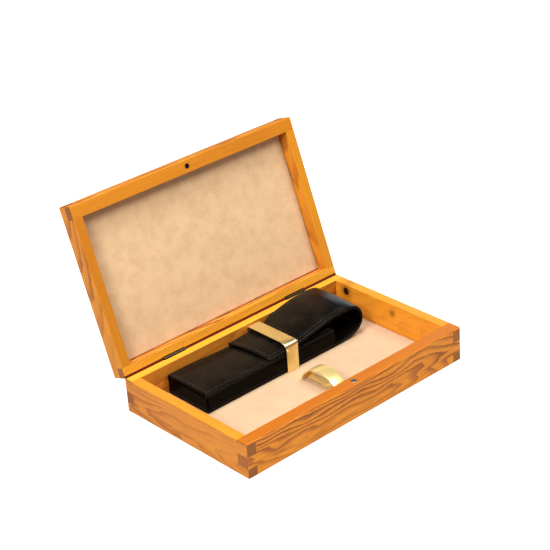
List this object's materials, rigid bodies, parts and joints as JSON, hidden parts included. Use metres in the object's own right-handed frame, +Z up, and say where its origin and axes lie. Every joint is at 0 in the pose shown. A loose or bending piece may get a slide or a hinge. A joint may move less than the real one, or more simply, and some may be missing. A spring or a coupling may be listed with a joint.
{
  "type": "fountain pen case",
  "caption": "Finger-jointed wooden pen case with a hinged lid, suede lining, brass pen loop and strap, and a black leather pen pouch.",
  "frame": {"origin": "centre of the base's flat underside", "axes": "+X along the length to the right, +Y to the hinge side, +Z up"},
  "size_m": [0.21, 0.1843, 0.148],
  "materials": {
    "box_wood": "honey-stained softwood, satin lacquer",
    "panel_wood": "honey-stained plywood, satin lacquer",
    "lining_card": "grey-brown backing card, matte",
    "base_suede": "cream suede cloth, matte",
    "lid_suede": "tan suede cloth, matte",
    "gilt_brass": "polished brass strip",
    "striker_steel": "turned steel, satin",
    "catch_magnet": "dark nickel, satin",
    "hinge_steel": "nickel-plated steel, satin",
    "screw_steel": "nickel-plated steel, satin",
    "pouch_leather": "black leather, fine satin grain",
    "pouch_gloss_leather": "black leather, glossy",
    "pouch_lining": "black velour, matte",
    "pouch_thread": "black waxed thread"
  },
  "bodies": {
    "base": {"base_front_board": "box_wood", "base_back_board": "box_wood", "base_left_board": "box_wood", "base_right_board": "box_wood", "base_bottom_panel": "panel_wood", "base_lining_card": "lining_card", "base_lining_cloth": "base_suede", "pouch_strap": "gilt_brass", "pen_loop": "gilt_brass", "catch_striker": "striker_steel", "hinge_left_base_leaf": "hinge_steel", "hinge_right_base_leaf": "hinge_steel", "hinge_left_pin": "hinge_steel", "hinge_right_pin": "hinge_steel", "hinge_base_screws": "screw_steel"},
    "lid": {"lid_front_board": "box_wood", "lid_back_board": "box_wood", "lid_left_board": "box_wood", "lid_right_board": "box_wood", "lid_top_panel": "panel_wood", "lid_lining_card": "lining_card", "lid_lining_cloth": "lid_suede", "catch_magnet": "catch_magnet", "hinge_left_lid_leaf": "hinge_steel", "hinge_right_lid_leaf": "hinge_steel", "hinge_lid_screws": "screw_steel"},
    "pouch": {"pouch_back_and_flap": "pouch_leather", "pouch_front_panel": "pouch_leather", "pouch_gusset": "pouch_gloss_leather", "pouch_lining": "pouch_lining", "pouch_stitching": "pouch_thread"}
  },
  "joints": [
    {"name": "lid_hinge", "type": "hinge", "parent": "base", "child": "lid", "pos_m": [0, 0.0638, 0.0273], "axis": [1, 0, 0], "range_deg": [0, 109.5]},
    {"name": "pouch_slide", "type": "slide", "parent": "base", "child": "pouch", "axis": [1, 0, 0], "range_m": [-0.005, 0.015]}
  ]
}
